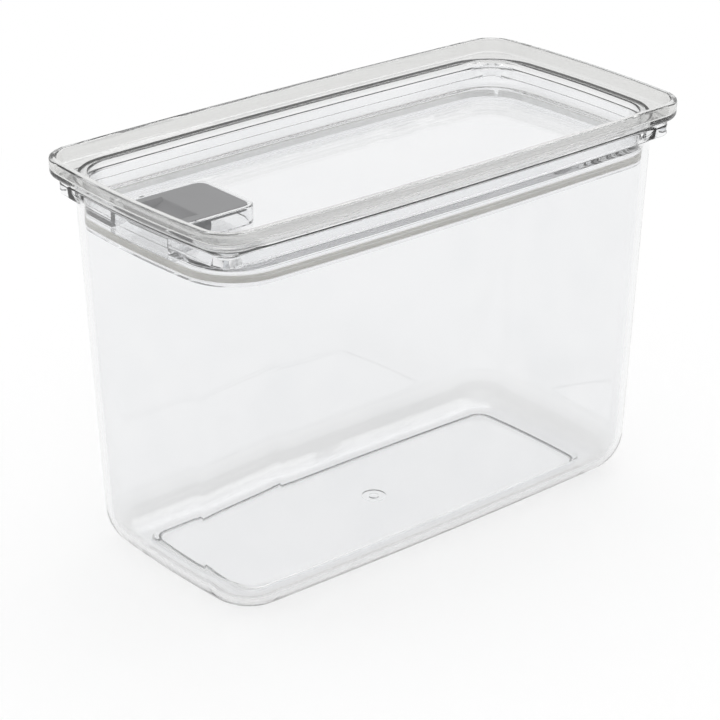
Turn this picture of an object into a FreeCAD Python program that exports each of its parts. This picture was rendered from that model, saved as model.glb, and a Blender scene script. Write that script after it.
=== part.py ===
import FreeCAD, Part
import math
import os

import Sketcher

# A clear rectangular storage canister. Its push-in lid carries a seal ring round its plug and a rocking
# flap, in a pocket at the lid's -X end, that opens an air vent so that the lid lifts off.
# Millimetres, +Z up, the origin on the ground under the middle of the jar, X along its length.

SIZES = {
    # Edge of the lid: the outline that every other outline follows.
    "lid_length": 212.0,
    "lid_width": 105.0,
    "lid_corner_radius": 12.0,
    "long_side_bow": 2.0,
    "short_side_bow": 3.4,
    # Container.
    "container_height": 136.5,
    "rim_inset": 3.7,
    "rim_corner_radius": 6.5,
    "rim_height": 4.4,
    "rim_edge_radius": 0.6,
    "wall_step": 0.2,
    "wall_thickness": 2.2,
    "wall_corner_radius": 21.8,
    "wall_draft": 3.2,
    "end_draft": 6.2,
    "base_corner_radius": 19.6,
    "base_rounding": 15.2,
    "floor_thickness": 2.4,
    "foot_width": 2.6,
    "foot_height": 1.2,
    "foot_corner_radius": 5.0,
    "floor_panel_reach": 2.4,
    "floor_panel_edge_radius": 0.9,
    "gate_pad_diameter": 9.0,
    "gate_nub_diameter": 3.6,
    "gate_pad_depth": 0.5,
    # Lid.
    "lid_rise": 8.7,
    "lid_thickness": 1.9,
    "lip_thickness": 2.6,
    "lip_depth": 4.9,
    "lip_edge_radius": 0.9,
    "lip_foot_radius": 2.2,
    "ledge_edge_radius": 0.8,
    "shoulder_width": 2.9,
    "plug_gap": 1.5,
    "plug_depth": 22.2,
    "panel_depth": 15.2,
    "panel_edge_radius": 1.6,
    "recess_corner_radius": 13.2,
    # Seal ring and the two ribs that hold it on the plug.
    "gasket_height": 3.3,
    "gasket_clearance": 0.25,
    "gasket_lip_height": 0.9,
    "gasket_groove_depth": 0.25,
    "seal_rib_height": 1.0,
    "seal_rib_reach": 0.5,
    # Flap and its pocket.
    "flap_end_inset": 12.5,
    "flap_length": 30.3,
    "flap_width": 27.3,
    "flap_corner_radius": 3.8,
    "flap_thickness": 1.6,
    "flap_edge_radius": 0.3,
    "flap_gap": 0.4,
    "frame_wall": 1.5,
    "frame_height": 6.1,
    "frame_edge_radius": 0.5,
    "well_floor_thickness": 1.2,
    "drum_radius": 6.2,
    "drum_side_inset": 1.15,
    "drum_foot": 5.2,
    "pivot_from_end": 7.9,
    "pivot_below_top": 3.3,
    "scoop_from_end": 2.5,
    "scoop_reach": 9.0,
    "scoop_side_inset": 3.4,
    "scoop_depth": 2.4,
    "pin_diameter": 1.8,
    "pin_clearance": 0.05,
    "pin_end_inset": 0.4,
    # Vent and its stopper.
    "vent_from_tip": 6.8,
    "vent_diameter": 3.4,
    "seat_width": 1.6,
    "seat_height": 1.0,
    "stopper_head_diameter": 8.0,
    "stopper_head_height": 1.5,
    "stopper_stem_diameter": 3.6,
    "stopper_tube_wall": 1.0,
    "stopper_clearance": 0.1,
    # How far a cutting shape runs past the solid that it cuts.
    "overrun": 1.0,
}

# Sizes worked out from the ones above: side radii, insets from the lid's edge, levels above the ground and
# distances from the middle of the jar towards the flap's end.
WORKED_OUT = {
    "long_side_radius": "lid_length ^ 2 / (8 * long_side_bow) + long_side_bow / 2",
    "short_side_radius": "lid_width ^ 2 / (8 * short_side_bow) + short_side_bow / 2",
    "lid_inset": "0",
    "ground": "0",
    "rim_bottom": "container_height - rim_height",
    "wall_inset": "rim_inset + wall_step",
    "base_inset": "wall_inset + wall_draft",
    "base_end_inset": "wall_inset + end_draft",
    "wall_slope": "wall_draft / container_height",
    "end_slope": "end_draft / container_height",
    "corner_slope": "(wall_corner_radius - base_corner_radius) / container_height",
    "mouth_inset": "wall_inset + wall_thickness",
    "mouth_corner": "wall_corner_radius - wall_thickness",
    "cavity_inset": "mouth_inset + wall_slope * (container_height - floor_thickness)",
    "cavity_end_inset": "mouth_inset + end_slope * (container_height - floor_thickness)",
    "cavity_corner": "mouth_corner - corner_slope * (container_height - floor_thickness)",
    "cavity_rounding": "base_rounding - wall_thickness",
    "foot_inset": "base_inset + base_rounding + foot_width",
    "foot_end_inset": "base_end_inset + base_rounding + foot_width",
    "panel_step_inset": "foot_inset - floor_panel_reach",
    "panel_step_end_inset": "foot_end_inset - floor_panel_reach",
    "panel_step_corner": "foot_corner_radius + floor_panel_reach",
    "floor_panel_top": "floor_thickness + foot_height",
    "lip_top": "container_height + lid_rise",
    "ledge_top": "lip_top - lip_depth",
    "ledge_under": "ledge_top - lid_thickness",
    "panel_top": "lip_top - panel_depth",
    "panel_under": "panel_top - lid_thickness",
    "plug_bottom": "lip_top - plug_depth",
    "lip_inset": "lip_thickness",
    "lip_inner_corner": "lid_corner_radius - lip_thickness",
    "plug_inset": "mouth_inset + plug_gap",
    "plug_corner": "mouth_corner - plug_gap",
    "recess_inset": "plug_inset + lid_thickness",
    "shoulder_inset": "plug_inset - shoulder_width",
    "shoulder_corner": "plug_corner + shoulder_width",
    "seal_rib_inset": "plug_inset - seal_rib_reach",
    "seal_rib_corner": "plug_corner + seal_rib_reach",
    "gasket_bottom": "plug_bottom + seal_rib_height",
    "gasket_top": "gasket_bottom + gasket_height",
    "gasket_lip_bottom": "gasket_top - gasket_lip_height",
    "gasket_inset": "mouth_inset + wall_slope * (container_height - gasket_bottom) + gasket_clearance",
    "gasket_end_inset": "mouth_inset + end_slope * (container_height - gasket_bottom) + gasket_clearance",
    "gasket_corner": "mouth_corner - gasket_clearance",
    "gasket_waist_inset": "gasket_inset + gasket_groove_depth",
    "gasket_waist_end_inset": "gasket_end_inset + gasket_groove_depth",
    "gasket_waist_corner": "gasket_corner - gasket_groove_depth",
    "flap_top": "panel_top + frame_height",
    "flap_under": "flap_top - flap_thickness",
    "flap_end": "lid_length / 2 - flap_end_inset",
    "flap_tip": "flap_end - flap_length",
    "flap_half_width": "flap_width / 2",
    "pivot_x": "flap_end - pivot_from_end",
    "pivot_level": "flap_top - pivot_below_top",
    "pin_hole_radius": "pin_diameter / 2 + pin_clearance",
    "drum_width": "flap_width - 2 * drum_side_inset",
    "drum_top": "flap_under + flap_thickness / 2",
    "drum_bottom": "pivot_level - drum_foot",
    "scoop_radius": "(scoop_reach ^ 2 + scoop_depth ^ 2) / (2 * scoop_depth)",
    "scoop_width": "flap_width - 2 * scoop_side_inset",
    "scoop_x": "flap_end - scoop_from_end",
    "scoop_level": "flap_top - scoop_depth + scoop_radius",
    "swing_radius": "sqrt(pivot_from_end ^ 2 + pivot_below_top ^ 2)",
    "well_end": "pivot_x + swing_radius + flap_gap / 2",
    "well_tip": "flap_tip - flap_gap",
    "well_half_width": "flap_half_width + flap_gap",
    "well_corner": "flap_corner_radius + flap_gap",
    "drum_well_tip": "pivot_x - drum_radius - flap_gap",
    "well_floor": "pivot_level - drum_radius - flap_gap",
    "well_under": "well_floor - well_floor_thickness",
    "frame_root": "lid_length / 2 - plug_inset - lid_thickness / 2",
    "frame_tip": "well_tip - frame_wall",
    "frame_half_width": "well_half_width + frame_wall",
    "frame_corner": "well_corner + frame_wall",
    "well_shell_tip": "drum_well_tip - frame_wall",
    "pin_length": "2 * (frame_half_width - pin_end_inset)",
    "vent_x": "flap_tip + vent_from_tip",
    "seat_top": "panel_top + seat_height",
    "seat_diameter": "vent_diameter + 2 * seat_width",
    "stopper_bottom": "seat_top + stopper_clearance",
    "stopper_shoulder": "stopper_bottom + stopper_head_height",
    "stopper_tube_diameter": "stopper_stem_diameter + 2 * stopper_tube_wall",
}

TOUCH = 1e-3
HALF_TURN = math.pi

doc = FreeCAD.newDocument("PantryJar")
sheet = doc.addObject("Spreadsheet::Sheet", "Sizes")
for row, (alias, number) in enumerate(SIZES.items(), start=1):
    sheet.set(f"A{row}", alias)
    sheet.set(f"B{row}", str(number))
    sheet.setAlias(f"B{row}", alias)
for row, (alias, formula) in enumerate(WORKED_OUT.items(), start=1):
    sheet.set(f"C{row}", alias)
    sheet.set(f"D{row}", "=" + formula)
    sheet.setAlias(f"D{row}", alias)
doc.recompute()


def size(alias):
    """The present value of one named size."""
    return float(sheet.get(alias))


def cell(alias):
    """The same size as an expression, for binding."""
    return f"Sizes.{alias}"


def new_body(label):
    body = doc.addObject("PartDesign::Body", label)
    body.Label = label
    return body


def new_sketch(body, name, plane="XY_Plane", level=None):
    """A sketch on one of the body's own planes, lifted to a named level."""
    sketch = body.newObject("Sketcher::SketchObject", name)
    planes = {feature.Role: feature for feature in body.Origin.OriginFeatures}
    sketch.AttachmentSupport = (planes[plane], [""])
    sketch.MapMode = "FlatFace"
    if level:
        sketch.setExpression("AttachmentOffset.Base.z", cell(level))
    return sketch


def drive(sketch, kind, *place, by):
    """Add a dimension whose value follows an expression on the sheet."""
    index = sketch.addConstraint(Sketcher.Constraint(kind, *place, by[0]))
    sketch.setExpression(f"Constraints[{index}]", by[1])


def arc(center, radius, start, end):
    circle = Part.Circle(FreeCAD.Vector(*center, 0), FreeCAD.Vector(0, 0, 1), radius)
    return Part.ArcOfCircle(circle, start, end)


def corner_center(long_middle, long_reach, short_middle, short_reach):
    """The point in the first quadrant at given distances from a point on Y and a point on X."""
    span = math.hypot(long_middle, short_middle)
    along = (long_reach ** 2 - short_reach ** 2 + span ** 2) / (2 * span)
    across = math.sqrt(long_reach ** 2 - along ** 2)
    ux, uy = short_middle / span, -long_middle / span
    return ux * along + uy * across, long_middle + uy * along - ux * across


def add_outline(sketch, inset, corner, end_inset=None):
    """A loop of eight tangent arcs: four bowed sides, `inset` inside the lid's edge, and four corners.

    The two short sides may have an inset of their own.
    """
    end_inset = end_inset or inset
    long_center = size("lid_width") / 2 - size("long_side_radius")
    short_center = size("lid_length") / 2 - size("short_side_radius")
    long_radius = size("long_side_radius") - size(inset)
    short_radius = size("short_side_radius") - size(end_inset)
    radius = size(corner)
    cx, cy = corner_center(long_center, long_radius - radius, short_center, short_radius - radius)
    low = math.atan2(cy, cx - short_center)
    high = math.atan2(cy - long_center, cx)
    first = sketch.GeometryCount
    sketch.addGeometry([
        arc((short_center, 0), short_radius, -low, low),
        arc((cx, cy), radius, low, high),
        arc((0, long_center), long_radius, high, HALF_TURN - high),
        arc((-cx, cy), radius, HALF_TURN - high, HALF_TURN - low),
        arc((-short_center, 0), short_radius, HALF_TURN - low, HALF_TURN + low),
        arc((-cx, -cy), radius, HALF_TURN + low, HALF_TURN + high),
        arc((0, -long_center), long_radius, HALF_TURN + high, 2 * HALF_TURN - high),
        arc((cx, -cy), radius, 2 * HALF_TURN - high, 2 * HALF_TURN - low),
    ], False)
    side = [first + step for step in range(8)]
    for step in range(8):
        sketch.addConstraint(Sketcher.Constraint("Tangent", side[step], 2, side[(step + 1) % 8], 1))
    for step, axis in ((0, -1), (4, -1), (2, -2), (6, -2)):
        sketch.addConstraint(Sketcher.Constraint("PointOnObject", side[step], 3, axis))
    short_offset = (-short_center, f"{cell('short_side_radius')} - {cell('lid_length')} / 2")
    long_offset = (-long_center, f"{cell('long_side_radius')} - {cell('lid_width')} / 2")
    drive(sketch, "DistanceX", side[0], 3, -1, 1, by=short_offset)
    drive(sketch, "DistanceX", -1, 1, side[4], 3, by=short_offset)
    drive(sketch, "DistanceY", side[2], 3, -1, 1, by=long_offset)
    drive(sketch, "DistanceY", -1, 1, side[6], 3, by=long_offset)
    short_bound = (short_radius, f"{cell('short_side_radius')} - {cell(end_inset)}")
    long_bound = (long_radius, f"{cell('long_side_radius')} - {cell(inset)}")
    for step, bound in ((0, short_bound), (4, short_bound), (2, long_bound), (6, long_bound)):
        drive(sketch, "Radius", side[step], by=bound)
    for step in (1, 3, 5, 7):
        drive(sketch, "Radius", side[step], by=(radius, cell(corner)))
    return sketch


def outline(body, name, level, inset, corner, end_inset=None):
    return add_outline(new_sketch(body, name, level=level), inset, corner, end_inset)


def tongue(body, name, level, root, tip, half_width, corner):
    """A straight strip along X at the flap's end, from `root` in to `tip`, with its tip corners rounded."""
    sketch = new_sketch(body, name, level=level)
    x_root, x_tip, y, r = -size(root), -size(tip), size(half_width), size(corner)
    vector = FreeCAD.Vector
    sketch.addGeometry([
        Part.LineSegment(vector(x_root, -y, 0), vector(x_tip - r, -y, 0)),
        arc((x_tip - r, r - y), r, -HALF_TURN / 2, 0),
        Part.LineSegment(vector(x_tip, r - y, 0), vector(x_tip, y - r, 0)),
        arc((x_tip - r, y - r), r, 0, HALF_TURN / 2),
        Part.LineSegment(vector(x_tip - r, y, 0), vector(x_root, y, 0)),
        Part.LineSegment(vector(x_root, y, 0), vector(x_root, -y, 0)),
    ], False)
    for step in range(4):
        sketch.addConstraint(Sketcher.Constraint("Tangent", step, 2, step + 1, 1))
    sketch.addConstraint(Sketcher.Constraint("Coincident", 4, 2, 5, 1))
    sketch.addConstraint(Sketcher.Constraint("Coincident", 5, 2, 0, 1))
    for step, kind in ((0, "Horizontal"), (2, "Vertical"), (4, "Horizontal"), (5, "Vertical")):
        sketch.addConstraint(Sketcher.Constraint(kind, step))
    drive(sketch, "Radius", 1, by=(r, cell(corner)))
    drive(sketch, "Radius", 3, by=(r, cell(corner)))
    drive(sketch, "DistanceX", 5, 1, -1, 1, by=(-x_root, cell(root)))
    drive(sketch, "DistanceX", 2, 1, -1, 1, by=(-x_tip, cell(tip)))
    drive(sketch, "DistanceY", -1, 1, 4, 2, by=(y, cell(half_width)))
    drive(sketch, "DistanceY", 0, 1, -1, 1, by=(y, cell(half_width)))
    return sketch


def circles(sketch, x, diameters, height=None):
    """Concentric circles, `x` from the middle towards the flap's end."""
    for diameter in diameters:
        place = FreeCAD.Vector(-size(x) if x else 0, size(height) if height else 0, 0)
        circle = Part.Circle(place, FreeCAD.Vector(0, 0, 1), size(diameter) / 2)
        index = sketch.addGeometry(circle, False)
        drive(sketch, "Diameter", index, by=(size(diameter), cell(diameter)))
        if x:
            drive(sketch, "DistanceX", index, 3, -1, 1, by=(size(x), cell(x)))
        else:
            sketch.addConstraint(Sketcher.Constraint("PointOnObject", index, 3, -2))
        if height:
            drive(sketch, "DistanceY", -1, 1, index, 3, by=(size(height), cell(height)))
        else:
            sketch.addConstraint(Sketcher.Constraint("PointOnObject", index, 3, -1))
    return sketch


def extrude(body, kind, name, sketch, length, reverse=False, both_ways=False):
    """A Pad or Pocket whose length follows an expression."""
    feature = body.newObject(f"PartDesign::{kind}", name)
    feature.Profile = sketch
    feature.Reversed = reverse
    feature.SideType = "Symmetric" if both_ways else "One side"
    feature.setExpression("Length", length)
    return feature


def rise(body, name, sketch, low, high):
    """Add material from the sketch's level `low` up to `high`."""
    return extrude(body, "Pad", name, sketch, f"{cell(high)} - {cell(low)}")


def hang(body, name, sketch, high, low):
    """Add material from the sketch's level `high` down to `low`."""
    return extrude(body, "Pad", name, sketch, f"{cell(high)} - {cell(low)}", reverse=True)


def sink(body, name, sketch, high, low):
    """Cut from the sketch's level `high` down to `low`."""
    return extrude(body, "Pocket", name, sketch, f"{cell(high)} - {cell(low)}")


def hollow(body, name, sketch, low, high):
    """Cut from the sketch's level `low` up to `high`."""
    return extrude(body, "Pocket", name, sketch, f"{cell(high)} - {cell(low)}", reverse=True)


def loft(body, kind, name, top, bottom):
    """Join an upper outline to a lower one by straight lines."""
    feature = body.newObject(f"PartDesign::{kind}", name)
    feature.Profile = top
    feature.Sections = [bottom]
    feature.Ruled = True
    return feature


def round_along(body, name, radius, *lines):
    """Round the edges of the body's last feature that run along given sketches at given levels."""
    doc.recompute()
    feature = body.Tip
    chosen = []
    for index, edge in enumerate(feature.Shape.Edges, start=1):
        middle = edge.valueAt((edge.FirstParameter + edge.LastParameter) / 2)
        for sketch, level in lines:
            foot = FreeCAD.Vector(middle.x, middle.y, sketch.Placement.Base.z)
            near = Part.Vertex(foot).distToShape(sketch.Shape)[0] < TOUCH
            if near and abs(middle.z - size(level)) < TOUCH:
                chosen.append(f"Edge{index}")
    fillet = body.newObject("PartDesign::Fillet", name)
    fillet.Base = (feature, chosen)
    fillet.setExpression("Radius", cell(radius))
    return fillet


def make_container():
    """Drafted box with a rolled bottom edge, a square-cornered rim band and a stepped floor."""
    body = new_body("container")
    wall = outline(body, "wall_outline", "container_height", "wall_inset", "wall_corner_radius")
    base = outline(body, "base_outline", "ground", "base_inset", "base_corner_radius", "base_end_inset")
    loft(body, "AdditiveLoft", "wall", wall, base)
    rim = outline(body, "rim_outline", "rim_bottom", "rim_inset", "rim_corner_radius")
    rise(body, "rim_band", rim, "rim_bottom", "container_height")
    mouth = outline(body, "mouth_outline", "container_height", "mouth_inset", "mouth_corner")
    floor = outline(body, "cavity_floor_outline", "floor_thickness", "cavity_inset", "cavity_corner",
                    "cavity_end_inset")
    loft(body, "SubtractiveLoft", "cavity", mouth, floor)
    round_along(body, "cavity_bottom", "cavity_rounding", (floor, "floor_thickness"))
    round_along(body, "rolled_bottom", "base_rounding", (base, "ground"))
    foot = outline(body, "foot_outline", "ground", "foot_inset", "foot_corner_radius", "foot_end_inset")
    hollow(body, "foot_recess", foot, "ground", "foot_height")
    step = outline(body, "floor_panel_outline", "floor_thickness", "panel_step_inset", "panel_step_corner",
                   "panel_step_end_inset")
    rise(body, "floor_panel", step, "floor_thickness", "floor_panel_top")
    round_along(body, "floor_panel_edge", "floor_panel_edge_radius", (step, "floor_panel_top"))
    gate = circles(new_sketch(body, "gate_circles", level="foot_height"), None,
                   ("gate_pad_diameter", "gate_nub_diameter"))
    extrude(body, "Pocket", "gate_pad", gate, cell("gate_pad_depth"), reverse=True)
    round_along(body, "rim_edges", "rim_edge_radius", (rim, "container_height"), (mouth, "container_height"))
    return body


def make_lid():
    """Clear tray with an upstanding lip, a plug with two seal ribs, a sunk panel and the flap's pocket."""
    body = new_body("lid")
    edge = outline(body, "edge_outline", "ledge_under", "lid_inset", "lid_corner_radius")
    rise(body, "edge_block", edge, "ledge_under", "lip_top")
    shoulder = outline(body, "shoulder_outline", "ledge_under", "shoulder_inset", "shoulder_corner")
    hang(body, "shoulder", shoulder, "ledge_under", "container_height")
    plug = outline(body, "plug_outline", "ledge_under", "plug_inset", "plug_corner")
    hang(body, "plug", plug, "ledge_under", "plug_bottom")
    for name, level in (("lower_rib", "plug_bottom"), ("upper_rib", "gasket_top")):
        rib = outline(body, f"{name}_outline", level, "seal_rib_inset", "seal_rib_corner")
        extrude(body, "Pad", name, rib, cell("seal_rib_height"))
    tray = outline(body, "tray_outline", "lip_top", "lip_inset", "lip_inner_corner")
    sink(body, "tray", tray, "lip_top", "ledge_top")
    recess = outline(body, "recess_outline", "ledge_top", "recess_inset", "recess_corner_radius")
    sink(body, "recess", recess, "ledge_top", "panel_top")
    under = outline(body, "underside_outline", "plug_bottom", "recess_inset", "recess_corner_radius")
    hollow(body, "underside", under, "plug_bottom", "panel_under")
    round_along(body, "lip_edges", "lip_edge_radius", (edge, "lip_top"), (tray, "lip_top"))
    round_along(body, "lip_foot", "lip_foot_radius", (edge, "ledge_under"))
    round_along(body, "ledge_edges", "ledge_edge_radius", (tray, "ledge_top"), (recess, "ledge_top"))
    round_along(body, "panel_edges", "panel_edge_radius", (recess, "panel_top"))
    add_flap_pocket(body)
    return body


def add_flap_pocket(body):
    """The raised frame round the flap, the well under its drum, the pin's holes and the vent's seat."""
    frame = tongue(body, "frame_outline", "panel_under", "frame_root", "frame_tip", "frame_half_width",
                   "frame_corner")
    rise(body, "frame", frame, "panel_under", "flap_top")
    shell = tongue(body, "well_shell_outline", "panel_top", "frame_root", "well_shell_tip",
                   "frame_half_width", "frame_corner")
    hang(body, "well_shell", shell, "panel_top", "well_under")
    well = tongue(body, "well_outline", "flap_top", "well_end", "well_tip", "well_half_width", "well_corner")
    sink(body, "well", well, "flap_top", "panel_top")
    drum_well = tongue(body, "drum_well_outline", "flap_top", "well_end", "drum_well_tip",
                       "well_half_width", "well_corner")
    sink(body, "drum_well", drum_well, "flap_top", "well_floor")
    holes = new_sketch(body, "pin_hole_circle", plane="XZ_Plane")
    pivot_hole(holes)
    extrude(body, "Pocket", "pin_holes", holes, f"2 * ({cell('frame_half_width')} + {cell('overrun')})",
            both_ways=True)
    seat = circles(new_sketch(body, "seat_circle", level="panel_top"), "vent_x", ("seat_diameter",))
    rise(body, "vent_seat", seat, "panel_top", "seat_top")
    vent = circles(new_sketch(body, "vent_circle", level="seat_top"), "vent_x", ("vent_diameter",))
    sink(body, "vent", vent, "seat_top", "panel_under")
    round_along(body, "frame_edges", "frame_edge_radius", (frame, "flap_top"))


def pivot_hole(sketch):
    """The round hole that the flap's pin runs in, on the pivot's axis."""
    radius = size("pin_hole_radius")
    place = FreeCAD.Vector(-size("pivot_x"), size("pivot_level"), 0)
    sketch.addGeometry(Part.Circle(place, FreeCAD.Vector(0, 0, 1), radius), False)
    drive(sketch, "Radius", 0, by=(radius, cell("pin_hole_radius")))
    drive(sketch, "DistanceX", 0, 3, -1, 1, by=(size("pivot_x"), cell("pivot_x")))
    drive(sketch, "DistanceY", -1, 1, 0, 3, by=(size("pivot_level"), cell("pivot_level")))


def make_gasket():
    """Ring round the plug, between the ribs, with two lips that face the container's wall."""
    body = new_body("seal_gasket")
    waist = outline(body, "waist_outline", "gasket_bottom", "gasket_waist_inset", "gasket_waist_corner",
                    "gasket_waist_end_inset")
    add_outline(waist, "plug_inset", "plug_corner")
    rise(body, "ring", waist, "gasket_bottom", "gasket_top")
    for name, level in (("lower_lip", "gasket_bottom"), ("upper_lip", "gasket_lip_bottom")):
        lip = outline(body, f"{name}_outline", level, "gasket_inset", "gasket_corner", "gasket_end_inset")
        add_outline(lip, "plug_inset", "plug_corner")
        extrude(body, "Pad", name, lip, cell("gasket_lip_height"))
    return body


def make_flap():
    """Thin plate with a drum under its outer end, a finger scoop, the pin's hole and the stopper's tube."""
    body = new_body("vent_flap")
    plate = tongue(body, "plate_outline", "flap_under", "flap_end", "flap_tip", "flap_half_width",
                   "flap_corner_radius")
    rise(body, "plate", plate, "flap_under", "flap_top")
    drum = drum_profile(body)
    extrude(body, "Pad", "drum", drum, cell("drum_width"), both_ways=True)
    scoop = new_sketch(body, "scoop_circle", plane="XZ_Plane")
    scoop_circle(scoop)
    extrude(body, "Pocket", "scoop", scoop, cell("scoop_width"), both_ways=True)
    hole = new_sketch(body, "pin_hole_circle", plane="XZ_Plane")
    pivot_hole(hole)
    extrude(body, "Pocket", "pin_hole", hole, f"{cell('flap_width')} + 2 * {cell('overrun')}",
            both_ways=True)
    tube = circles(new_sketch(body, "tube_circles", level="flap_under"), "vent_x",
                   ("stopper_tube_diameter", "stopper_stem_diameter"))
    hang(body, "stopper_tube", tube, "flap_under", "stopper_shoulder")
    round_along(body, "plate_edges", "flap_edge_radius", (plate, "flap_top"))
    return body


def drum_profile(body):
    """Round section about the pivot, cut flat inside the plate and at its foot."""
    sketch = new_sketch(body, "drum_section", plane="XZ_Plane")
    x, z, r = -size("pivot_x"), size("pivot_level"), size("drum_radius")
    top, bottom = size("drum_top") - z, size("drum_bottom") - z
    high, low = math.asin(top / r), math.asin(bottom / r)
    upper, lower = r * math.cos(high), r * math.cos(low)
    vector = FreeCAD.Vector
    sketch.addGeometry([
        arc((x, z), r, HALF_TURN - high, HALF_TURN - low),
        Part.LineSegment(vector(x - lower, z + bottom, 0), vector(x + lower, z + bottom, 0)),
        arc((x, z), r, low, high),
        Part.LineSegment(vector(x + upper, z + top, 0), vector(x - upper, z + top, 0)),
    ], False)
    for step in range(4):
        sketch.addConstraint(Sketcher.Constraint("Coincident", step, 2, (step + 1) % 4, 1))
    sketch.addConstraint(Sketcher.Constraint("Coincident", 0, 3, 2, 3))
    sketch.addConstraint(Sketcher.Constraint("Horizontal", 1))
    sketch.addConstraint(Sketcher.Constraint("Horizontal", 3))
    drive(sketch, "Radius", 0, by=(r, cell("drum_radius")))
    drive(sketch, "Radius", 2, by=(r, cell("drum_radius")))
    drive(sketch, "DistanceX", 0, 3, -1, 1, by=(-x, cell("pivot_x")))
    drive(sketch, "DistanceY", -1, 1, 0, 3, by=(z, cell("pivot_level")))
    drive(sketch, "DistanceY", -1, 1, 3, 1, by=(size("drum_top"), cell("drum_top")))
    drive(sketch, "DistanceY", -1, 1, 1, 1, by=(size("drum_bottom"), cell("drum_bottom")))
    return sketch


def scoop_circle(sketch):
    """Large circle above the plate whose lower arc hollows the flap for a fingertip."""
    place = FreeCAD.Vector(-size("scoop_x"), size("scoop_level"), 0)
    sketch.addGeometry(Part.Circle(place, FreeCAD.Vector(0, 0, 1), size("scoop_radius")), False)
    drive(sketch, "Radius", 0, by=(size("scoop_radius"), cell("scoop_radius")))
    drive(sketch, "DistanceX", 0, 3, -1, 1, by=(size("scoop_x"), cell("scoop_x")))
    drive(sketch, "DistanceY", -1, 1, 0, 3, by=(size("scoop_level"), cell("scoop_level")))


def make_pin():
    """Plain round pin across the pocket."""
    pin = doc.addObject("Part::Cylinder", "flap_pin")
    pin.setExpression("Radius", f"{cell('pin_diameter')} / 2")
    pin.setExpression("Height", cell("pin_length"))
    pin.Placement.Rotation = FreeCAD.Rotation(FreeCAD.Vector(1, 0, 0), -90)
    pin.setExpression("Placement.Base.x", f"-{cell('pivot_x')}")
    pin.setExpression("Placement.Base.y", f"-{cell('pin_length')} / 2")
    pin.setExpression("Placement.Base.z", cell("pivot_level"))
    return pin


def make_stopper():
    """Soft stopper: a flat head that closes the vent and a stem pushed up into the flap's tube."""
    body = new_body("vent_stopper")
    head = circles(new_sketch(body, "head_circle", level="stopper_bottom"), "vent_x",
                   ("stopper_head_diameter",))
    rise(body, "head", head, "stopper_bottom", "stopper_shoulder")
    stem = circles(new_sketch(body, "stem_circle", level="stopper_shoulder"), "vent_x",
                   ("stopper_stem_diameter",))
    rise(body, "stem", stem, "stopper_shoulder", "flap_under")
    return body


def check(pieces):
    """Stop unless every object has recomputed and every piece is one valid solid."""
    doc.recompute()
    for item in doc.Objects:
        if "Invalid" in item.State or "Error" in item.State:
            raise RuntimeError(f"{item.Name} did not recompute: {item.State}")
    for piece in pieces:
        shape = piece.Shape
        if shape.isNull() or not shape.isValid() or len(shape.Solids) != 1:
            raise RuntimeError(f"{piece.Label} is not one valid solid")
        print(piece.Label, "volume", round(shape.Volume, 1), "box", shape.BoundBox)


pieces = [make_container(), make_lid(), make_gasket(), make_flap(), make_pin(), make_stopper()]
check(pieces)
os.makedirs("parts", exist_ok=True)
for piece in pieces:
    piece.Shape.exportStep(os.path.join("parts", piece.Label + ".step"))
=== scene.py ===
"""A clear rectangular pantry jar with a push-in lid and a rocking vent flap, in a white studio."""

import math

import bmesh
import bpy
from bpy.props import FloatProperty, FloatVectorProperty, PointerProperty
from mathutils import Matrix, Vector


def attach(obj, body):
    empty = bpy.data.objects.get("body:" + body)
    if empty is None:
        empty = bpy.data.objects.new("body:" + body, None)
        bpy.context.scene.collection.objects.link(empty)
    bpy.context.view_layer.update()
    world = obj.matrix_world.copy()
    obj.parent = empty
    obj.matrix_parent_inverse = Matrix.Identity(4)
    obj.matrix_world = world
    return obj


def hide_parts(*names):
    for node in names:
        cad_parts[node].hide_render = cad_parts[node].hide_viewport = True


bl_info = {
    "name": "Pantry Jar",
    "version": (1, 0, 0),
    "blender": (4, 5, 0),
    "location": "View3D > Sidebar > Jar",
    "description": "Builds the clear mouldings, seal and flap of a pantry jar on its CAD frame",
    "category": "Object",
}

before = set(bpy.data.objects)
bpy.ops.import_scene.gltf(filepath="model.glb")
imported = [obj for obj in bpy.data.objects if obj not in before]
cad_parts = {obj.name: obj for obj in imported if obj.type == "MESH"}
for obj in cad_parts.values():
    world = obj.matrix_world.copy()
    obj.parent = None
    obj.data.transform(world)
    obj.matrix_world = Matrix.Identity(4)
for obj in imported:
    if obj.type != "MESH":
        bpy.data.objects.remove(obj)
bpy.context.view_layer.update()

# How finely the outlines and roundings are divided
END_STEPS = 16
SIDE_STEPS = 36
CORNER_STEPS = 14
ROLL_STEPS = 14
INNER_ROLL_STEPS = 12
FLARE_STEPS = 6
FLOOR_STEPS = 5
EDGE_STEPS = 4
WALL_SHARES = (0.25, 0.5, 0.75, 0.95)
INNER_WALL_SHARES = (0.25, 0.5, 0.75)

# Working distances for bridging, merging and comparing, in metres
LIFT = 0.05
MERGE = 1e-6
NEAR = 1e-5

# Edges that turn by more than these stay sharp
CLEAR_SHARP = math.radians(40)
LID_SHARP = math.radians(35)
SEAL_SHARP = math.radians(60)
FLAP_SHARP = math.radians(30)
FLAT = math.radians(1)

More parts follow.
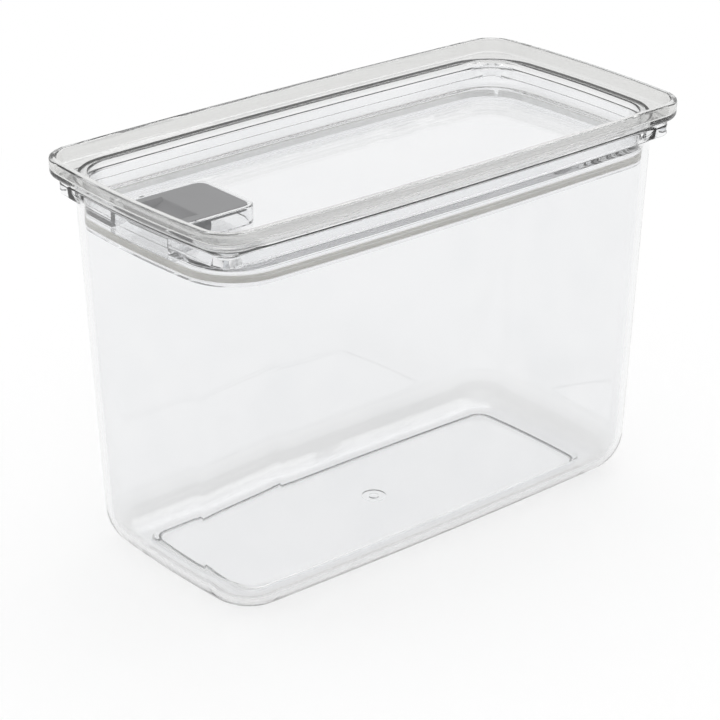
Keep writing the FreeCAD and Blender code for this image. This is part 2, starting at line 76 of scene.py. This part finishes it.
# The studio: light bounces, floor paper, dim band on the walls, lamp and camera
CLEAR_BOUNCES = 32
FLOOR_SIZE = 4.0
FLOOR_DROP = 0.0003
FLOOR_FADE = (0.1, 0.42)
FLOOR_GLOW = 0.5
# Painted light: how much the paper glows under the jar's floor
UNDER_GLOW = 0.3
BAND_TONE = (0.08, 0.08, 0.085)
BAND_START = (0.42, 0.52)
BAND_END = (0.8, 0.9)
BAND_SIDE = (-0.1, 0.35)
BEHIND_JAR = (0.645, 0.764, 0.0)
EVEN_LIGHT = 0.78
LAMP_ENERGY = 1.0
LAMP_ANGLE = math.radians(50)
LAMP_DIRECTION = (-0.6, -0.2, -1.0)
CAMERA_LENS = 123.837
CAMERA_SENSOR = 36.0
CAMERA_REACH = 20.0
CAMERA_TILT = math.radians(24.597)
CAMERA_TURN = math.radians(-40.158)
CAMERA_DISTANCE = 0.8837
CAMERA_SHIFT = -0.0044016
CAMERA_AIM = 0.0568092
WHITE = (1.0, 1.0, 1.0)


def length(name, description, default):
    return FloatProperty(name=name, description=description, default=default, min=0.0, precision=5,
                         subtype="DISTANCE", unit="LENGTH")


def colour(name, description, default):
    return FloatVectorProperty(name=name, description=description, default=default, size=3, min=0.0, max=1.0,
                               subtype="COLOR")


class JarSizes(bpy.types.PropertyGroup):
    """Sizes of the jar's mouldings."""

    lid_length: length("Lid length", "Length of the lid's edge at the middle of its short sides", 0.212)
    lid_width: length("Lid width", "Width of the lid's edge at the middle of its long sides", 0.105)
    long_bow: length("Long side bow", "How far the long sides swell towards their middle", 0.002)
    short_bow: length("Short side bow", "How far the short sides swell towards their middle", 0.0034)
    mouth_height: length("Mouth height", "Height of the container's rim above the ground", 0.1365)
    rim_inset: length("Rim inset", "How far the rim lies inside the lid's edge", 0.0037)
    rim_corner: length("Rim corner", "Corner radius of the rim seen from above", 0.0065)
    rim_height: length("Rim height", "Height of the square-cornered rim band", 0.0044)
    rim_edge: length("Rim edge", "Rounding of the rim's edges", 0.0006)
    rim_flare: length("Rim flare", "How far the wall's corners swell out just under the rim", 0.002)
    flare_height: length("Flare height", "Height of the swelling under the rim", 0.00352)
    skirt: length("Skirt thickness", "Thickness of the rim where its corners are cored out", 0.0009)
    skirt_depth: length("Skirt depth", "Depth of the cored-out corners of the rim", 0.0027)
    wall_inset: length("Wall inset", "How far the wall's top lies inside the lid's edge", 0.0039)
    wall: length("Wall thickness", "Thickness of the container's wall", 0.0022)
    wall_corner: length("Wall corner", "Corner radius of the wall at its top", 0.0218)
    wall_draft: length("Wall draft", "How far the long walls lean in from top to bottom", 0.0032)
    end_draft: length("End draft", "How far the end walls lean in from top to bottom", 0.0062)
    base_corner: length("Base corner", "Corner radius of the wall at the ground", 0.0196)
    base_rounding: length("Base rounding", "Radius of the rolled bottom edge", 0.0152)
    floor: length("Floor thickness", "Thickness of the container's floor", 0.0024)
    foot_width: length("Foot width", "Width of the ring that the jar stands on", 0.0026)
    foot_height: length("Foot height", "Depth of the recess inside the foot ring", 0.0012)
    foot_edge: length("Foot edge", "Reach of each half of the soft step of the foot's recess", 0.0014)
    foot_corner: length("Foot corner", "Corner radius of the foot's recess", 0.005)
    floor_reach: length("Floor step place", "How far the floor's step lies outside the foot's recess", 0.0024)
    floor_edge: length("Floor step reach", "Reach of each half of the floor's soft step", 0.0012)
    gate_radius: length("Gate mark radius", "Radius of the moulding mark under the floor", 0.0045)
    gate_nub: length("Gate nub radius", "Radius of the nub inside the moulding mark", 0.0018)
    gate_depth: length("Gate mark depth", "Depth of the moulding mark", 0.0005)
    # Between these two heights the lid's lip fades into its painted shade
    lip_shade_start: length("Lip start", "Height above the rim where the lid's lip starts to look thick", 0.0010)
    lip_shade_full: length("Lip full", "Height above the rim where the lid's lip looks fully thick", 0.0035)
    plug_gap: length("Plug gap", "Gap between the mouth and the lid's plug", 0.0015)
    seal_bottom: length("Seal bottom", "Level of the seal ring's lower edge", 0.12445)
    seal_height: length("Seal height", "Height of the seal ring", 0.0024)
    seal_clearance: length("Seal clearance", "Gap between the seal ring and the wall", 0.00025)
    seal_lip: length("Seal lip", "Height of each lip of the seal ring", 0.00075)
    seal_groove: length("Seal groove", "Depth of the groove between the lips", 0.00025)
    flap_width: length("Flap width", "Width of the flap", 0.0273)
    scoop_side: length("Scoop side", "Distance from the flap's side to its finger scoop", 0.0034)
    scoop_softening: length("Scoop edge", "Depth at which the finger scoop's sides start to slope", 0.0004)
    scoop_slope: length("Scoop slope", "How far the finger scoop's sides lean in", 0.002)


class JarFinishes(bpy.types.PropertyGroup):
    """Colours of the jar's materials."""

    clear: colour("Clear plastic", "Tint of the clear mouldings", (0.952, 0.955, 0.96))
    clear_haze: colour("Clear plastic smears", "Tint of the clear mouldings where they are smeared",
                       (0.935, 0.94, 0.946))
    # Painted shade: a grey tint on the lid's lip and the rolled bottom edge, standing in for the dark look of
    # their thick edges
    clear_painted_shade: colour("Clear plastic edge", "Tint of the lid's lip and the rolled bottom",
                       (0.76, 0.76, 0.75))
    # The seal's own beige, darkened further as painted shade; it colours the seal's outer faces
    seal: colour("Seal", "Colour of the seal ring", (0.56, 0.545, 0.50))
    # Painted light: a pale tone on the faces towards the jar's middle, as if lit from behind
    seal_painted_light: colour("Seal inner face", "Colour of the seal ring's inner face", (0.97, 0.97, 0.96))
    flap: colour("Flap", "Colour of the flap", (0.245, 0.245, 0.25))
    pin: colour("Pin", "Colour of the flap's pin", (0.17, 0.17, 0.175))
    stopper: colour("Stopper", "Colour of the vent's stopper", (0.55, 0.54, 0.50))


def sizes():
    return bpy.context.scene.jar_sizes


def finishes():
    return bpy.context.scene.jar_finishes


class Value:
    """A shader socket that takes part in Python expressions."""

    def __init__(self, graph, socket):
        self.graph = graph
        self.socket = socket

    def also(self, output):
        """Another output of the same node."""
        return Value(self.graph, self.socket.node.outputs[output])

    def _math(self, operation, first, second):
        return self.graph.add("ShaderNodeMath", {"operation": operation}, {0: first, 1: second})

    def __add__(self, other):
        return self._math("ADD", self, other)

    def __sub__(self, other):
        return self._math("SUBTRACT", self, other)

    def __rsub__(self, other):
        return self._math("SUBTRACT", other, self)

    def __mul__(self, other):
        return self._math("MULTIPLY", self, other)

    def __pow__(self, other):
        return self._math("POWER", self, other)

    def __rpow__(self, other):
        return self._math("POWER", other, self)

    __radd__ = __add__
    __rmul__ = __mul__


class Graph:
    """A node tree that is filled one node at a time."""

    def __init__(self, owner):
        owner.use_nodes = True
        self.tree = owner.node_tree
        self.tree.nodes.clear()

    def add(self, kind, settings=None, sockets=None, output=0):
        """Add a node, set it up, then set or link its sockets; gives one of its outputs."""
        node = self.tree.nodes.new(kind)
        for name, setting in (settings or {}).items():
            setattr(node, name, setting)
        for name, value in (sockets or {}).items():
            if isinstance(value, Value):
                self.tree.links.new(value.socket, node.inputs[name])
            else:
                node.inputs[name].default_value = value
        if node.outputs:
            return Value(self, node.outputs[output])
        return None

    def place(self):
        return self.add("ShaderNodeTexCoord", output="Object")

    def part(self, vector, axis):
        """One axis of a vector."""
        return self.add("ShaderNodeSeparateXYZ", {}, {0: vector}, output=axis)

    def noise(self, scale, detail):
        return self.add("ShaderNodeTexNoise", {}, {"Vector": self.place(), "Scale": scale, "Detail": detail})

    def fit(self, value, low, high, start=0.0, end=1.0):
        """Map a value from one range to another, without going past its ends."""
        return self.add("ShaderNodeMapRange", {"clamp": True}, {0: value, 1: low, 2: high, 3: start, 4: end})

    def blend(self, factor, first, second):
        """Mix two colours, each a tuple or the colour of another node."""
        ends = [end if isinstance(end, Value) else (*end, 1.0) for end in (first, second)]
        return self.add("ShaderNodeMix", {"data_type": "RGBA"}, {0: factor, 6: ends[0], 7: ends[1]}, output=2)

    def bump(self, height, distance, strength):
        return self.add("ShaderNodeBump", {}, {"Height": height, "Distance": distance, "Strength": strength})

    def dot(self, first, second):
        return self.add("ShaderNodeVectorMath", {"operation": "DOT_PRODUCT"}, {0: first, 1: second},
                        output="Value")

    def mix(self, factor, first, second):
        """Mix two shaders."""
        return self.add("ShaderNodeMixShader", {}, {0: factor, 1: first, 2: second})

    def surface(self, shader):
        self.add("ShaderNodeOutputMaterial", {}, {"Surface": shader})


def lip_painted_shade(graph):
    """How far a spot of the lid gets painted shade: grey on its upstanding lip."""
    jar = sizes()
    up = graph.part(graph.place(), "Z")
    return graph.fit(up, jar.mouth_height + jar.lip_shade_start, jar.mouth_height + jar.lip_shade_full)


def roll_painted_shade(graph):
    """How far a spot of the container gets painted shade on its rolled bottom edge: darker towards the
    ground, level faces left out.
    """
    place = graph.place()
    facing = graph.part(place.also("Normal"), "Z")
    level = graph.fit(facing * facing, 0.6, 0.95)
    low = graph.fit(graph.part(place, "Z"), 0.0, sizes().base_rounding, 0.7, 0.0)
    return low * (1 - level)


def clear_plastic(name, shaded):
    """Polished clear moulding with smears and waves, and painted shade that greys its lip or rolled bottom
    edge; light passes through its shadow.
    """
    material = bpy.data.materials.new(name)
    graph = Graph(material)
    smear = graph.fit(graph.noise(scale=38.0, detail=4.0), 0.45, 0.7)
    wave = graph.noise(scale=22.0, detail=1.0)
    face = graph.blend(smear, tuple(finishes().clear), tuple(finishes().clear_haze))
    body = graph.add("ShaderNodeBsdfPrincipled", {}, {
        # Painted shade: the mask greys the base colour towards the edge tint
        "Base Color": graph.blend(shaded(graph), face, tuple(finishes().clear_painted_shade)),
        "Roughness": 0.003 + smear * 0.008,
        "Normal": graph.bump(wave, distance=0.0003, strength=0.002),
        "IOR": 1.5,
        "Transmission Weight": 1.0,
    })
    in_shadow = graph.add("ShaderNodeLightPath", output="Is Shadow Ray")
    through = graph.add("ShaderNodeBsdfTransparent", {}, {"Color": (0.94, 0.94, 0.94, 1.0)})
    depth = graph.add("ShaderNodeVolumeAbsorption", {}, {"Color": (0.5, 0.505, 0.51, 1.0), "Density": 12.0})
    shader = graph.mix(in_shadow, body, through)
    graph.add("ShaderNodeOutputMaterial", {}, {"Surface": shader, "Volume": depth})
    return material


def grained_plastic(name, tint, roughness):
    """Matt moulded plastic with a fine spark-eroded grain."""
    material = bpy.data.materials.new(name)
    graph = Graph(material)
    grain = graph.noise(scale=2600.0, detail=3.0)
    shade = graph.fit(graph.noise(scale=90.0, detail=3.0), 0.3, 0.7)
    deep = tuple(0.93 * part for part in tint)
    graph.surface(graph.add("ShaderNodeBsdfPrincipled", {}, {
        "Base Color": graph.blend(shade, deep, tuple(tint)),
        "Roughness": roughness + shade * 0.08,
        "Normal": graph.bump(grain, distance=0.00012, strength=0.35),
        "Specular IOR Level": 0.4,
    }))
    return material


def soft_silicone(name, tint, inner):
    """Dusty translucent silicone in painted light and shade: faces that look towards the jar's middle are
    painted paler, as if lit from behind, and outer faces take the darker tint.
    """
    material = bpy.data.materials.new(name)
    graph = Graph(material)
    dust = graph.fit(graph.noise(scale=240.0, detail=5.0), 0.35, 0.7)
    skin = graph.bump(dust, distance=0.00008, strength=0.25)
    place = graph.place()
    outward = graph.dot(place, place.also("Normal"))
    # Painted light and shade: faces towards the jar's middle take the pale lit tone, outer faces the darker
    # shaded tone
    side = graph.fit(outward + dust * 0.004, -0.01, 0.014)
    face = graph.add("ShaderNodeBsdfPrincipled", {}, {
        "Base Color": graph.blend(side, tuple(inner), tuple(tint)),
        "Roughness": 0.42 + dust * 0.18,
        "Normal": skin,
    })
    glow = graph.add("ShaderNodeBsdfTranslucent", {}, {"Color": (*inner, 1.0), "Normal": skin})
    graph.surface(graph.mix(0.45, face, glow))
    return material


def corner_center(long_middle, long_reach, short_middle, short_reach):
    """The point in the first quadrant at given distances from a point on Y and a point on X."""
    span = math.hypot(long_middle, short_middle)
    along = (long_reach ** 2 - short_reach ** 2 + span ** 2) / (2 * span)
    across = math.sqrt(long_reach ** 2 - along ** 2)
    ux, uy = short_middle / span, -long_middle / span
    return ux * along + uy * across, long_middle + uy * along - ux * across


def outline(bm, level, inset, corner, end_inset=None):
    """Spin one loop of eight tangent arcs: bowed sides, `inset` inside the lid's edge, and round corners."""
    jar = sizes()
    if end_inset is None:
        end_inset = inset
    long_radius = jar.lid_length ** 2 / (8 * jar.long_bow) + jar.long_bow / 2
    short_radius = jar.lid_width ** 2 / (8 * jar.short_bow) + jar.short_bow / 2
    long_middle = jar.lid_width / 2 - long_radius
    short_middle = jar.lid_length / 2 - short_radius
    cx, cy = corner_center(long_middle, long_radius - inset - corner,
                           short_middle, short_radius - end_inset - corner)
    low = math.atan2(cy, cx - short_middle)
    high = math.atan2(cy - long_middle, cx)
    reach = short_radius - end_inset
    ring = bmesh.new()
    first = ring.verts.new((short_middle + reach * math.cos(low), -reach * math.sin(low), level))
    tip = first
    for center, sweep, steps in (
            ((short_middle, 0), 2 * low, END_STEPS),
            ((cx, cy), high - low, CORNER_STEPS),
            ((0, long_middle), math.pi - 2 * high, SIDE_STEPS),
            ((-cx, cy), high - low, CORNER_STEPS),
            ((-short_middle, 0), 2 * low, END_STEPS),
            ((-cx, -cy), high - low, CORNER_STEPS),
            ((0, -long_middle), math.pi - 2 * high, SIDE_STEPS),
            ((cx, -cy), high - low, CORNER_STEPS)):
        spun = bmesh.ops.spin(ring, geom=[tip], cent=(*center, level), axis=(0, 0, 1), angle=sweep,
                              steps=steps)
        tip = next(item for item in spun["geom_last"] if isinstance(item, bmesh.types.BMVert))
    bmesh.ops.pointmerge(ring, verts=[first, tip], merge_co=first.co)
    return joined(bm, ring)


def joined(bm, ring):
    """Add a finished loop to a mesh; gives the loop's edges there."""
    mesh = bpy.data.meshes.new("ring")
    ring.to_mesh(mesh)
    ring.free()
    count = len(bm.edges)
    bm.from_mesh(mesh)
    bpy.data.meshes.remove(mesh)
    bm.edges.ensure_lookup_table()
    return bm.edges[count:]


def bridge(bm, lower, upper):
    """Join two loops with faces; one is lifted clear meanwhile, so that level loops pair up the same way."""
    verts = list({vert for edge in upper for vert in edge.verts})
    bmesh.ops.translate(bm, verts=verts, vec=(0, 0, LIFT))
    bmesh.ops.bridge_loops(bm, edges=lower + upper)
    bmesh.ops.translate(bm, verts=verts, vec=(0, 0, -LIFT))


def stack(bm, rings, closed=False):
    """Bridge a row of outlines, each given as its level, inset, corner and end inset."""
    loops = [outline(bm, *ring) for ring in rings]
    follow = loops[1:] + loops[:1] if closed else loops[1:]
    for lower, upper in zip(loops, follow):
        bridge(bm, lower, upper)
    return loops


def quarter(steps):
    """Shares along and across a quarter round, from its start to its end."""
    for step in range(steps + 1):
        turn = math.pi / 2 * step / steps
        yield math.sin(turn), 1 - math.cos(turn)


def merged_copy(node):
    """A bmesh of a CAD node with its loose triangles joined."""
    bm = bmesh.new()
    bm.from_mesh(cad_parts[node].data)
    bmesh.ops.remove_doubles(bm, verts=bm.verts, dist=MERGE)
    return bm


def smooth_by_angle(bm, limit):
    for face in bm.faces:
        face.smooth = True
    for edge in bm.edges:
        edge.smooth = len(edge.link_faces) == 2 and edge.calc_face_angle(0.0) < limit


def finished(name, bm, material, body, node):
    """Turn a closed bmesh into a piece that rides on a body and stands for a CAD node."""
    if not all(edge.is_manifold for edge in bm.edges):
        raise RuntimeError(f"{name} is not closed")
    mesh = bpy.data.meshes.new(name)
    bm.to_mesh(mesh)
    bm.free()
    piece = bpy.data.objects.new(name, mesh)
    bpy.context.scene.collection.objects.link(piece)
    mesh.materials.append(material)
    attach(piece, body)
    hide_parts(node)
    return piece


def even_shading(piece):
    """Let the large flat faces set the shading, so that they stay free of ripples."""
    even = piece.modifiers.new("even shading", "WEIGHTED_NORMAL")
    even.keep_sharp = True


class JAR_OT_container(bpy.types.Operator):
    """Model the clear container: rolled bottom, drafted wall, square-cornered rim and stepped floor"""

    bl_idname = "jar.container"
    bl_label = "Container"

    def execute(self, context):
        bm = bmesh.new()
        loops = stack(bm, [*self.foot(), *self.outside(), *self.rim(), *self.inside(), *self.floor_step()])
        self.close_floor(bm, loops)
        self.hollow_corners(bm)
        bmesh.ops.recalc_face_normals(bm, faces=bm.faces)
        smooth_by_angle(bm, CLEAR_SHARP)
        piece = finished("container_shell", bm, clear_plastic("clear container", roll_painted_shade), "container",
                         "container")
        even_shading(piece)
        return {"FINISHED"}

    def wall_ring(self, level, extra, thickness=0.0):
        """The wall's outline at a level, moved in by an extra amount and by a thickness."""
        jar = sizes()
        lean = 1 - level / jar.mouth_height
        return (level, jar.wall_inset + thickness + jar.wall_draft * lean + extra,
                jar.wall_corner - thickness + (jar.base_corner - jar.wall_corner) * lean - extra,
                jar.wall_inset + thickness + jar.end_draft * lean + extra)

    def foot_ring(self, level, inwards):
        """The outline of the foot's recess at a level, moved inwards."""
        jar = sizes()
        around = jar.wall_inset + jar.base_rounding + jar.foot_width + inwards
        return level, around + jar.wall_draft, jar.foot_corner - inwards, around + jar.end_draft

    def rim_bottom(self):
        return sizes().mouth_height - sizes().rim_height

    def foot(self):
        """The soft step from the recess under the floor down to the foot ring."""
        jar = sizes()
        rise = jar.foot_height / 2
        for along, across in quarter(EDGE_STEPS):
            yield self.foot_ring(jar.foot_height - rise * across, jar.foot_edge * (1 - along))
        for along, across in quarter(EDGE_STEPS):
            yield self.foot_ring(rise * (1 - along), -jar.foot_edge * across)

    def outside(self):
        """The rolled bottom edge, the wall and the swelling of its corners under the rim."""
        jar = sizes()
        for along, across in quarter(ROLL_STEPS):
            yield self.wall_ring(jar.base_rounding * across, jar.base_rounding * (1 - along))
        for share_up in WALL_SHARES:
            yield self.wall_ring(jar.base_rounding + (self.rim_bottom() - jar.base_rounding) * share_up, 0.0)
        for along, across in quarter(FLARE_STEPS):
            level, side, corner, end = self.wall_ring(self.rim_bottom() - jar.flare_height * (1 - along), 0.0)
            yield level, side, corner - jar.rim_flare * across, end

    def rim(self):
        """The rim's lower, upper and mouth edges, each rounded."""
        jar = sizes()
        edge = jar.rim_edge
        for along, across in quarter(EDGE_STEPS):
            inwards = edge * (1 - along)
            yield self.rim_bottom() + edge * across, jar.rim_inset + inwards, jar.rim_corner - inwards
        for along, across in quarter(EDGE_STEPS):
            inwards = edge * across
            yield jar.mouth_height - edge * (1 - along), jar.rim_inset + inwards, jar.rim_corner - inwards
        for along, across in quarter(EDGE_STEPS):
            inwards = jar.wall - edge * (1 - along)
            yield jar.mouth_height - edge * across, jar.wall_inset + inwards, jar.wall_corner - inwards

    def inside(self):
        """The wall's inner face, down to the floor."""
        jar = sizes()
        rounding = jar.base_rounding - jar.wall
        drop = jar.mouth_height - jar.floor - rounding
        for share_down in INNER_WALL_SHARES:
            yield self.wall_ring(jar.mouth_height - drop * share_down, 0.0, jar.wall)
        for along, across in reversed(list(quarter(INNER_ROLL_STEPS))):
            yield self.wall_ring(jar.floor + rounding * across, rounding * (1 - along), jar.wall)

    def floor_step(self):
        """The soft step up to the floor's panel."""
        jar = sizes()
        rise = jar.foot_height / 2
        top = jar.floor + jar.foot_height
        for along, across in quarter(FLOOR_STEPS):
            yield self.foot_ring(jar.floor + rise * across, -jar.floor_reach - jar.floor_edge * (1 - along))
        for along, across in quarter(FLOOR_STEPS):
            yield self.foot_ring(top - rise * (1 - along), -jar.floor_reach + jar.floor_edge * across)

    def hollow_corners(self, bm):
        """Core out the rim's four corners from below, so that the rim is a skirt there."""
        jar = sizes()
        level = self.rim_bottom()

        def broad(face):
            longest = max(edge.calc_length() for edge in face.edges)
            return longest > 3 * jar.skirt and face.calc_area() > jar.skirt * longest

        under = [face for face in bm.faces
                 if all(abs(vert.co.z - level) < NEAR for vert in face.verts) and broad(face)]
        bmesh.ops.inset_region(bm, faces=under, thickness=jar.skirt, use_boundary=True, use_even_offset=False)
        verts = list({vert for face in under for vert in face.verts})
        bmesh.ops.translate(bm, verts=verts, vec=(0, 0, jar.skirt_depth))

    def close_floor(self, bm, loops):
        """Fill the floor's top, and its underside round a moulding mark."""
        jar = sizes()
        bmesh.ops.contextual_create(bm, geom=loops[-1])
        ceiling = jar.foot_height
        follow = loops[0]
        for radius, level in ((jar.gate_radius, ceiling), (jar.gate_radius, ceiling + jar.gate_depth),
                              (jar.gate_nub, ceiling + jar.gate_depth), (jar.gate_nub, ceiling)):
            ring = bmesh.new()
            bmesh.ops.create_circle(ring, segments=len(loops[0]), radius=radius,
                                    matrix=Matrix.Translation((0, 0, level)))
            edges = joined(bm, ring)
            bridge(bm, follow, edges)
            follow = edges
        bmesh.ops.contextual_create(bm, geom=follow)


class JAR_OT_lid(bpy.types.Operator):
    """Dress the clear lid: lip, ledge, plug, sunk panel and the flap's pocket"""

    bl_idname = "jar.lid"
    bl_label = "Lid"

    def execute(self, context):
        bm = merged_copy("lid")
        smooth_by_angle(bm, LID_SHARP)
        piece = finished("lid_tray", bm, clear_plastic("clear lid", lip_painted_shade), "lid", "lid")
        even_shading(piece)
        return {"FINISHED"}


class JAR_OT_seal(bpy.types.Operator):
    """Model the seal ring round the lid's plug"""

    bl_idname = "jar.seal"
    bl_label = "Seal ring"

    def execute(self, context):
        bm = bmesh.new()
        stack(bm, self.section(), closed=True)
        bmesh.ops.recalc_face_normals(bm, faces=bm.faces)
        smooth_by_angle(bm, SEAL_SHARP)
        # The seal's outer faces get its tint with painted shade, and its inner faces the pale painted light
        silicone = soft_silicone("seal silicone", finishes().seal, finishes().seal_painted_light)
        finished("seal_ring", bm, silicone, "lid", "seal_gasket")
        return {"FINISHED"}

    def section(self):
        """Rings round the seal's section: a flat back, and two soft lips with a groove between them."""
        jar = sizes()
        low = jar.seal_bottom
        high = low + jar.seal_height
        lean = (jar.mouth_height - low) / jar.mouth_height
        mouth = jar.wall_inset + jar.wall
        side = mouth + jar.wall_draft * lean + jar.seal_clearance
        end = mouth + jar.end_draft * lean + jar.seal_clearance
        corner = jar.wall_corner - jar.wall - jar.seal_clearance
        back = mouth + jar.plug_gap
        back_corner = jar.wall_corner - jar.wall - jar.plug_gap
        lip, groove, soft = jar.seal_lip, jar.seal_groove, jar.seal_lip / 4
        rings = [(low, back, back_corner)]
        for level, inwards in ((low, soft), (low + soft, 0.0), (low + lip - soft, 0.0), (low + lip, soft),
                               (low + lip + soft, groove), (high - lip - soft, groove), (high - lip, soft),
                               (high - lip + soft, 0.0), (high - soft, 0.0), (high, soft)):
            rings.append((level, side + inwards, corner - inwards, end + inwards))
        rings.append((high, back, back_corner))
        return rings


class JAR_OT_flap(bpy.types.Operator):
    """Dress the grey flap and slope the sides of its bare finger scoop"""

    bl_idname = "jar.flap"
    bl_label = "Flap"

    def execute(self, context):
        jar = sizes()
        bm = merged_copy("vent_flap")
        bmesh.ops.dissolve_limit(bm, angle_limit=FLAT, verts=bm.verts, edges=bm.edges)
        side = jar.flap_width / 2 - jar.scoop_side
        top = max(vert.co.z for vert in bm.verts)
        low = [vert for vert in bm.verts
               if abs(abs(vert.co.y) - side) < NEAR and vert.co.z < top - jar.scoop_softening]
        bmesh.ops.scale(bm, verts=low, vec=(1.0, 1 - jar.scoop_slope / side, 1.0))
        smooth_by_angle(bm, FLAP_SHARP)
        plastic = grained_plastic("flap plastic", finishes().flap, roughness=0.46)
        piece = finished("rocker_flap", bm, plastic, "flap", "vent_flap")
        even_shading(piece)
        return {"FINISHED"}


class JAR_OT_fittings(bpy.types.Operator):
    """Finish the flap's pin and the vent's stopper"""

    bl_idname = "jar.fittings"
    bl_label = "Pin and stopper"

    def execute(self, context):
        tints = finishes()
        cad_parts["flap_pin"].material_slots[0].material = grained_plastic("pin plastic", tints.pin,
                                                                                roughness=0.3)
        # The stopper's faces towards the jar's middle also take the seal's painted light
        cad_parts["vent_stopper"].material_slots[0].material = soft_silicone(
            "stopper silicone", tints.stopper, tints.seal_painted_light)
        return {"FINISHED"}


class JAR_OT_stage(bpy.types.Operator):
    """Lay the pale floor, light the room and set the camera at the photograph's view"""

    bl_idname = "jar.stage"
    bl_label = "Stage"

    def execute(self, context):
        self.lay_floor()
        self.light_room()
        self.hang_lamp()
        self.set_camera()
        scene = bpy.context.scene
        scene.view_settings.view_transform = "Standard"
        scene.cycles.max_bounces = CLEAR_BOUNCES
        scene.cycles.glossy_bounces = CLEAR_BOUNCES
        scene.cycles.transmission_bounces = CLEAR_BOUNCES
        return {"FINISHED"}

    def lay_floor(self):
        bm = bmesh.new()
        bmesh.ops.create_grid(bm, x_segments=2, y_segments=2, size=FLOOR_SIZE,
                              matrix=Matrix.Translation((0, 0, -FLOOR_DROP)))
        mesh = bpy.data.meshes.new("floor")
        bm.to_mesh(mesh)
        bm.free()
        floor = bpy.data.objects.new("floor", mesh)
        bpy.context.scene.collection.objects.link(floor)
        mesh.materials.append(self.floor_paper())

    def floor_paper(self):
        """White paper that glows far from the jar, with painted light: a little extra glow under the jar's
        floor.
        """
        jar = sizes()
        material = bpy.data.materials.new("floor paper")
        graph = Graph(material)
        place = graph.place()
        away = graph.add("ShaderNodeVectorMath", {"operation": "LENGTH"}, {0: place}, output="Value")
        far = graph.fit(away, *FLOOR_FADE, FLOOR_GLOW, 1.0)
        x = graph.part(place, "X")
        y = x.also("Y")
        # Painted light: a pool of glow on the paper under the jar's floor, so that it reads bright through
        # the jar
        foot = jar.wall_inset + jar.base_rounding + jar.foot_width
        end = jar.lid_length / 2 - jar.end_draft - foot
        side = jar.lid_width / 2 - jar.wall_draft - foot
        spread = (x * x * (1 / end ** 2)) ** 4.0 + (y * y * (1 / side ** 2)) ** 4.0
        under = graph.fit(spread, 0.8, 1.0, UNDER_GLOW, 0.0)
        paper = graph.add("ShaderNodeBsdfDiffuse", {}, {"Color": (0.96, 0.96, 0.96, 1.0)})
        glow = graph.add("ShaderNodeEmission", {}, {"Color": (*WHITE, 1.0), "Strength": 1.0})
        graph.surface(graph.mix(far + under, paper, glow))
        return material

    def light_room(self):
        """A white room with a dim band on its near walls for clear edges, and even light for matt pieces."""
        world = bpy.data.worlds.new("studio")
        bpy.context.scene.world = world
        graph = Graph(world)
        direction = graph.add("ShaderNodeTexCoord", output="Generated")
        up = graph.part(direction, "Z")
        low = 1 - graph.fit(up, *BAND_START)
        high = graph.fit(up, *BAND_END)
        far = graph.fit(graph.dot(direction, BEHIND_JAR), *BAND_SIDE)
        shade = graph.add("ShaderNodeClamp", {}, {0: low + high + far})
        path = graph.add("ShaderNodeLightPath", output="Is Camera Ray")
        banded = self.backdrop(graph, graph.blend(shade, BAND_TONE, WHITE), 1.0)
        even = self.backdrop(graph, (*WHITE, 1.0), EVEN_LIGHT)
        white = self.backdrop(graph, (*WHITE, 1.0), 1.0)
        lit = graph.mix(path.also("Diffuse Depth"), banded, even)
        graph.add("ShaderNodeOutputWorld", {}, {"Surface": graph.mix(path, lit, white)})

    def backdrop(self, graph, tint, strength):
        return graph.add("ShaderNodeBackground", {}, {"Color": tint, "Strength": strength})

    def hang_lamp(self):
        """A broad soft lamp from the back right, which throws the shadow to the front left."""
        lamp = bpy.data.lights.new("key lamp", "SUN")
        lamp.energy = LAMP_ENERGY
        lamp.angle = LAMP_ANGLE
        holder = bpy.data.objects.new("key lamp", lamp)
        holder.rotation_euler = Vector(LAMP_DIRECTION).to_track_quat("-Z", "Y").to_euler()
        bpy.context.scene.collection.objects.link(holder)

    def set_camera(self):
        camera = bpy.data.cameras.new("camera")
        camera.lens = CAMERA_LENS
        camera.sensor_width = CAMERA_SENSOR
        camera.clip_end = CAMERA_REACH
        holder = bpy.data.objects.new("camera", camera)
        level = math.cos(CAMERA_TILT)
        back = Vector((math.sin(CAMERA_TURN) * level, -math.cos(CAMERA_TURN) * level, math.sin(CAMERA_TILT)))
        right = Vector((math.cos(CAMERA_TURN), math.sin(CAMERA_TURN), 0.0))
        spot = back * CAMERA_DISTANCE + right * CAMERA_SHIFT + Vector((0, 0, CAMERA_AIM))
        basis = Matrix((right, back.cross(right), back)).transposed().to_4x4()
        holder.matrix_world = Matrix.Translation(spot) @ basis
        bpy.context.scene.collection.objects.link(holder)
        bpy.context.scene.camera = holder


class JAR_PT_build(bpy.types.Panel):
    """Buttons that build the jar, and its sizes and colours"""

    bl_idname = "JAR_PT_build"
    bl_label = "Pantry jar"
    bl_space_type = "VIEW_3D"
    bl_region_type = "UI"
    bl_category = "Jar"

    def draw(self, context):
        for operator in OPERATORS:
            self.layout.operator(operator.bl_idname)
        for group in (context.scene.jar_sizes, context.scene.jar_finishes):
            box = self.layout.box()
            for name in group.bl_rna.properties.keys():
                if name not in ("rna_type", "name"):
                    box.prop(group, name)


OPERATORS = (JAR_OT_container, JAR_OT_lid, JAR_OT_seal, JAR_OT_flap, JAR_OT_fittings, JAR_OT_stage)
CLASSES = (JarSizes, JarFinishes, *OPERATORS, JAR_PT_build)


def register():
    for item in CLASSES:
        bpy.utils.register_class(item)
    bpy.types.Scene.jar_sizes = PointerProperty(type=JarSizes)
    bpy.types.Scene.jar_finishes = PointerProperty(type=JarFinishes)


def unregister():
    del bpy.types.Scene.jar_finishes
    del bpy.types.Scene.jar_sizes
    for item in reversed(CLASSES):
        bpy.utils.unregister_class(item)


def main():
    register()
    bpy.ops.jar.container()
    bpy.ops.jar.lid()
    bpy.ops.jar.seal()
    bpy.ops.jar.flap()
    bpy.ops.jar.fittings()
    bpy.ops.jar.stage()


if __name__ == "__main__":
    main()
